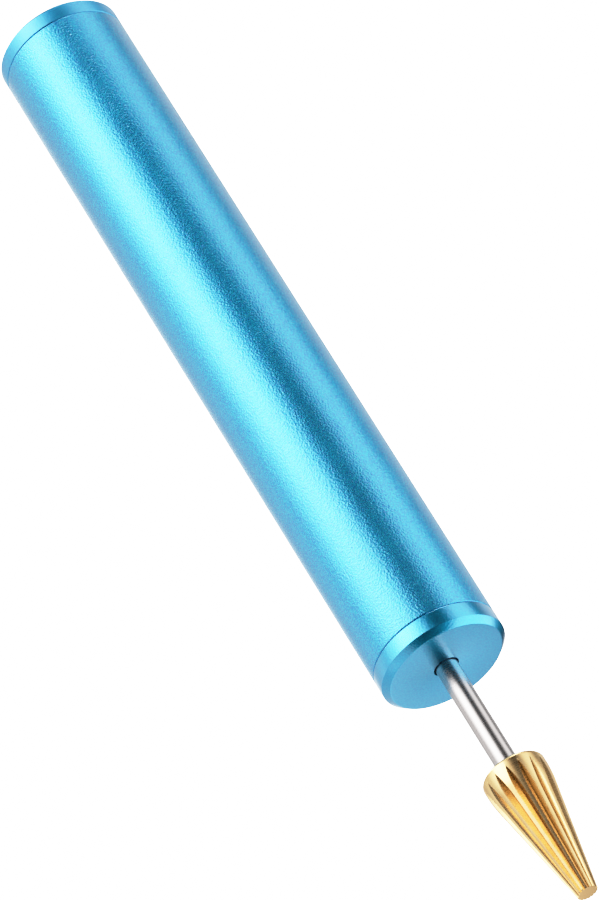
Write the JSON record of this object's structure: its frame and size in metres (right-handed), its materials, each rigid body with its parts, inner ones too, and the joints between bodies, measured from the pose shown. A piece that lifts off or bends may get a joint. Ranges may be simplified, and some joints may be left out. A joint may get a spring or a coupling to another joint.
{
  "type": "edge dye roller pen",
  "caption": "Hand tool for painting leather edges: a closed aluminium handle carries a thin steel spindle on ball bearings, with a fluted brass cone that spins freely.",
  "frame": {"origin": "centre of the rear cap's flat face", "axes": "+Z along the pen's axis from the rear cap to the roller's tip; X and Y lie across the handle"},
  "size_m": [0.017, 0.017, 0.1469],
  "materials": {
    "blue_anodised": "bead-blasted, blue anodised",
    "turned_aluminium": "plain turned",
    "ground_steel": "centreless ground, satin",
    "bearing_steel": "ground and polished",
    "ball_steel": "polished",
    "shield_steel": "plain stamped sheet",
    "spring_steel": "phosphated spring steel",
    "nylon": "natural nylon",
    "brass": "polished, cut flutes"
  },
  "bodies": {
    "handle": {"handle_tube": "blue_anodised", "front_cap": "blue_anodised", "rear_cap": "blue_anodised", "bearing_carrier": "turned_aluminium", "carrier_snap_ring": "spring_steel", "preload_washer": "spring_steel", "front_outer_race": "bearing_steel", "front_shield_front": "shield_steel", "front_shield_back": "shield_steel", "rear_outer_race": "bearing_steel", "rear_shield_front": "shield_steel", "rear_shield_back": "shield_steel"},
    "spindle": {"spindle_shaft": "ground_steel", "roller_head": "brass", "front_inner_race": "bearing_steel", "rear_inner_race": "bearing_steel", "bearing_spacer": "turned_aluminium", "front_shim": "shield_steel", "rear_shim": "shield_steel", "front_clip": "spring_steel", "rear_clip": "spring_steel"},
    "front_cage_set": {"front_cage": "nylon", "front_balls": "ball_steel"},
    "rear_cage_set": {"rear_cage": "nylon", "rear_balls": "ball_steel"}
  },
  "joints": [
    {"name": "spindle_spin", "type": "hinge", "parent": "handle", "child": "spindle", "pos_m": [0, 0, 0.11], "axis": [0, 0, 1], "continuous": true},
    {"name": "front_cage_orbit", "type": "hinge", "parent": "handle", "child": "front_cage_set", "pos_m": [0, 0, 0.0935], "axis": [0, 0, 1], "continuous": true},
    {"name": "rear_cage_orbit", "type": "hinge", "parent": "handle", "child": "rear_cage_set", "pos_m": [0, 0, 0.0795], "axis": [0, 0, 1], "continuous": true}
  ],
  "couplings": [
    {"joint": "front_cage_orbit", "follows": "spindle_spin", "ratio": 0.35564},
    {"joint": "rear_cage_orbit", "follows": "spindle_spin", "ratio": 0.35564}
  ]
}
